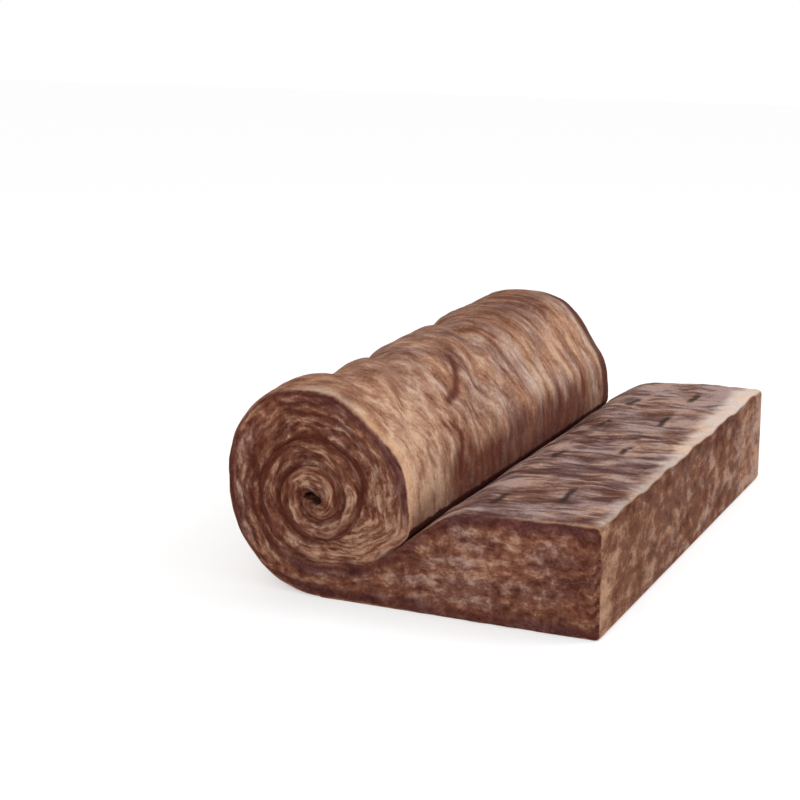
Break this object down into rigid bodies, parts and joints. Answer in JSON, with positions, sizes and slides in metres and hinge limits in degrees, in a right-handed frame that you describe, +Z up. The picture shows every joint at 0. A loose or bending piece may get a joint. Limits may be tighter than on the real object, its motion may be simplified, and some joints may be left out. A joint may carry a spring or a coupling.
{
  "type": "insulation roll",
  "caption": "Roll of brown glass wool, partly unrolled: a wound end pressed to thin turns beside a thick flat slab with a square-cut end.",
  "frame": {"origin": "on the floor, in the middle of the part's outline seen from above", "axes": "+Z up, +Y along the roll's axis and across the mat's width, +X from the roll towards the mat's free end"},
  "size_m": [0.783, 1.2, 0.425],
  "materials": {
    "wool": "matte glass wool"
  },
  "bodies": {
    "root": {"glass_wool_mat": "wool"}
  },
  "joints": []
}
